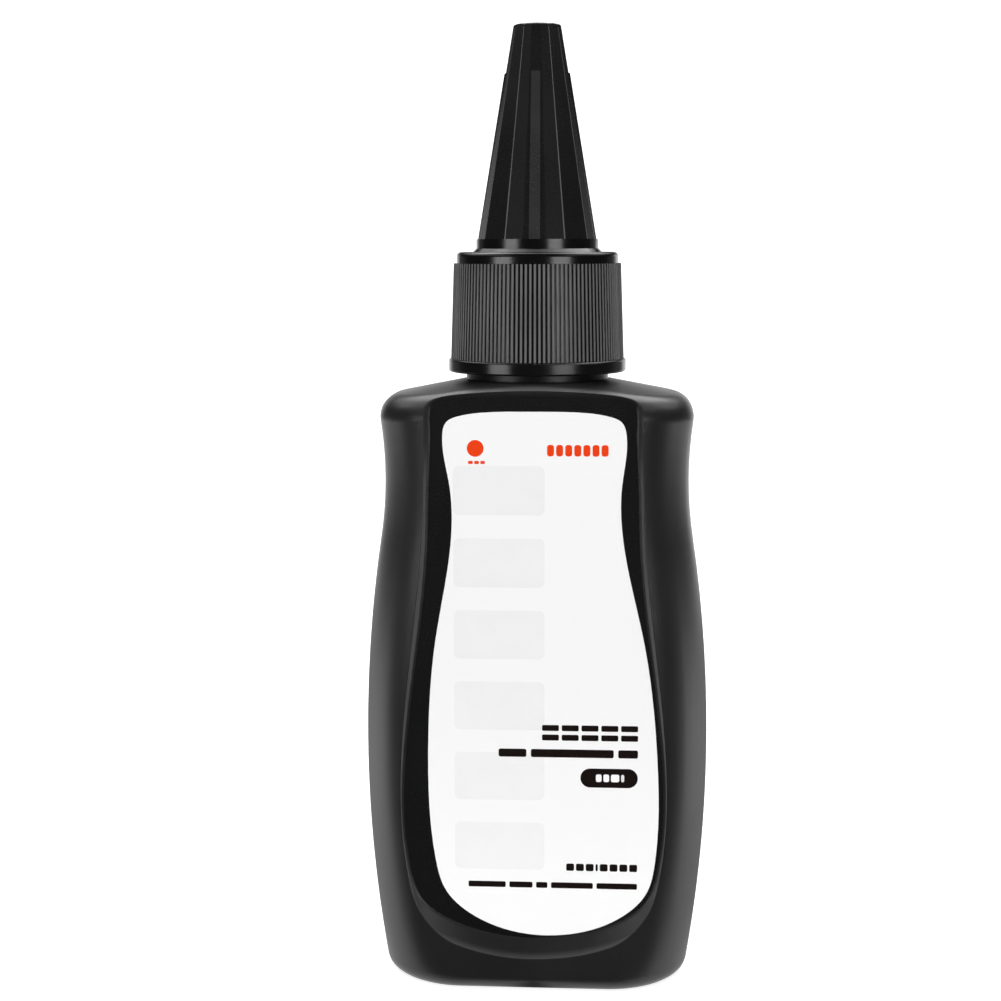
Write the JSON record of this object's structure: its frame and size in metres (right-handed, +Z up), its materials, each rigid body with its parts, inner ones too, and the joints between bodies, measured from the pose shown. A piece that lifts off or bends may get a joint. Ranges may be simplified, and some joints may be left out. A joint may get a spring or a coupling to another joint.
{
  "type": "suspension fork oil bottle",
  "caption": "Waisted oval squeeze bottle for fork oil with sunk label panels, a ribbed screw collar with a pouring nozzle and a faceted push-on tip cover.",
  "frame": {"origin": "middle of the base, on the surface that the bottle stands on", "axes": "+Z up along the neck and nozzle, -Y out of the labelled front, +X to the right of the label"},
  "size_m": [0.0466, 0.026, 0.1284],
  "materials": {
    "bottle_plastic": "satin black",
    "label_film": "white film",
    "collar_plastic": "gloss black",
    "washer_rubber": "matt grey",
    "cover_plastic": "gloss black"
  },
  "bodies": {
    "bottle": {"bottle_body": "bottle_plastic", "front_label": "label_film"},
    "washer": {"sealing_washer": "washer_rubber"},
    "collar": {"nozzle_collar": "collar_plastic"},
    "cover": {"tip_cover": "cover_plastic"}
  },
  "joints": [
    {"name": "collar_rise", "type": "slide", "parent": "bottle", "child": "washer", "axis": [0, 0, 1], "range_m": [0, 0.0143]},
    {"name": "collar_turn", "type": "hinge", "parent": "washer", "child": "collar", "pos_m": [0, 0, 0.09], "axis": [0, 0, 1], "range_deg": [0, 1620]},
    {"name": "cover_pull", "type": "slide", "parent": "collar", "child": "cover", "axis": [0, 0, 1], "range_m": [0, 0.03]}
  ],
  "couplings": [
    {"joint": "collar_rise", "follows": "collar_turn", "m_per_rad": 0.00050532}
  ]
}
